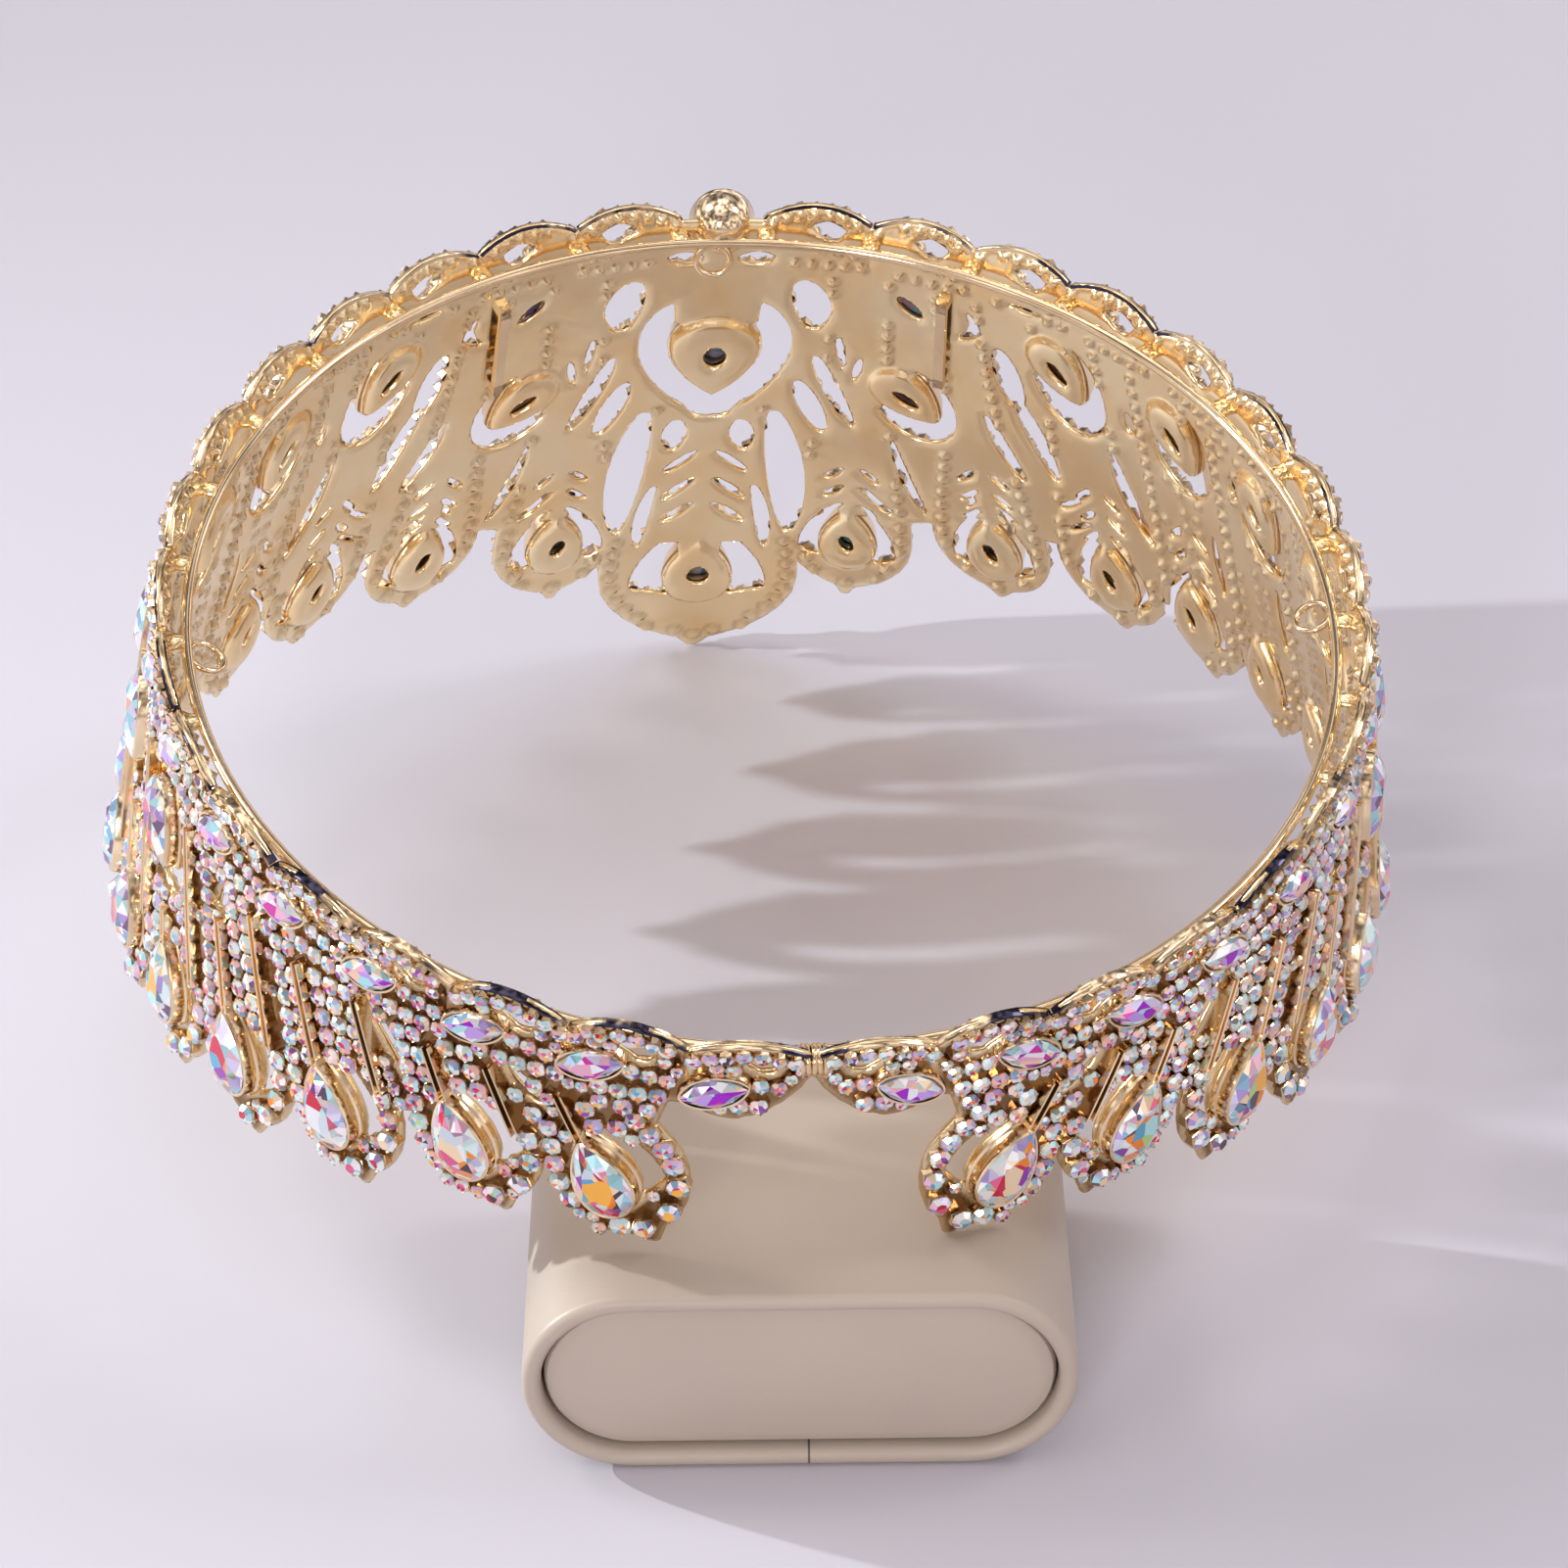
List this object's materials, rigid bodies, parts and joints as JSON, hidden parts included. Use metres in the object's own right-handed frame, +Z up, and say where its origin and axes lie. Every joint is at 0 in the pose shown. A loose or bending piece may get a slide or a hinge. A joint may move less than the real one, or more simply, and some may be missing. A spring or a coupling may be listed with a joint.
{
  "type": "princess crown on its display stand",
  "caption": "Full-round princess crown of pierced gold-tone metal with peacock feathers and iridescent stones, resting upside down on a short padded leatherette stand.",
  "frame": {"origin": "centre of the bounding box in plan, on the floor that the crown's front tip and the stand rest on", "axes": "+Z up, +X to the right seen from behind the crown, +Y towards the crown's front feather; the crown lies upside down with its base wire on top"},
  "size_m": [0.1752, 0.1937, 0.0963],
  "materials": {
    "gold_alloy": "light gold plate, polished outside and satin inside",
    "crystal": "clear cut stones with an iridescent coating and foiled backs",
    "rhinestone": "small clear rhinestones with an iridescent coating",
    "stand_cover": "matt beige leatherette",
    "stand_core": "padded core covered like the sleeve"
  },
  "bodies": {
    "root": {"crown_frame": "gold_alloy", "heart_stone": "crystal", "round_stone": "crystal", "eye_pear_front": "crystal", "eye_pear_left_01": "crystal", "eye_pear_left_02": "crystal", "eye_pear_left_03": "crystal", "eye_pear_left_04": "crystal", "eye_pear_left_05": "crystal", "eye_pear_left_06": "crystal", "eye_pear_left_07": "crystal", "eye_pear_left_08": "crystal", "eye_pear_left_09": "crystal", "eye_pear_left_10": "crystal", "eye_pear_left_11": "crystal", "eye_pear_left_12": "crystal", "eye_pear_left_13": "crystal", "eye_pear_right_01": "crystal", "eye_pear_right_02": "crystal", "eye_pear_right_03": "crystal", "eye_pear_right_04": "crystal", "eye_pear_right_05": "crystal", "eye_pear_right_06": "crystal", "eye_pear_right_07": "crystal", "eye_pear_right_08": "crystal", "eye_pear_right_09": "crystal", "eye_pear_right_10": "crystal", "eye_pear_right_11": "crystal", "eye_pear_right_12": "crystal", "eye_pear_right_13": "crystal", "upper_pear_left_01": "crystal", "upper_pear_left_02": "crystal", "upper_pear_left_03": "crystal", "upper_pear_left_04": "crystal", "upper_pear_left_05": "crystal", "upper_pear_left_06": "crystal", "upper_pear_left_07": "crystal", "upper_pear_right_01": "crystal", "upper_pear_right_02": "crystal", "upper_pear_right_03": "crystal", "upper_pear_right_04": "crystal", "upper_pear_right_05": "crystal", "upper_pear_right_06": "crystal", "upper_pear_right_07": "crystal", "marquises_left": "crystal", "marquises_right": "crystal", "rhinestones_left": "rhinestone", "rhinestones_right": "rhinestone", "stand_sleeve": "stand_cover", "stand_core": "stand_core"}
  },
  "joints": []
}
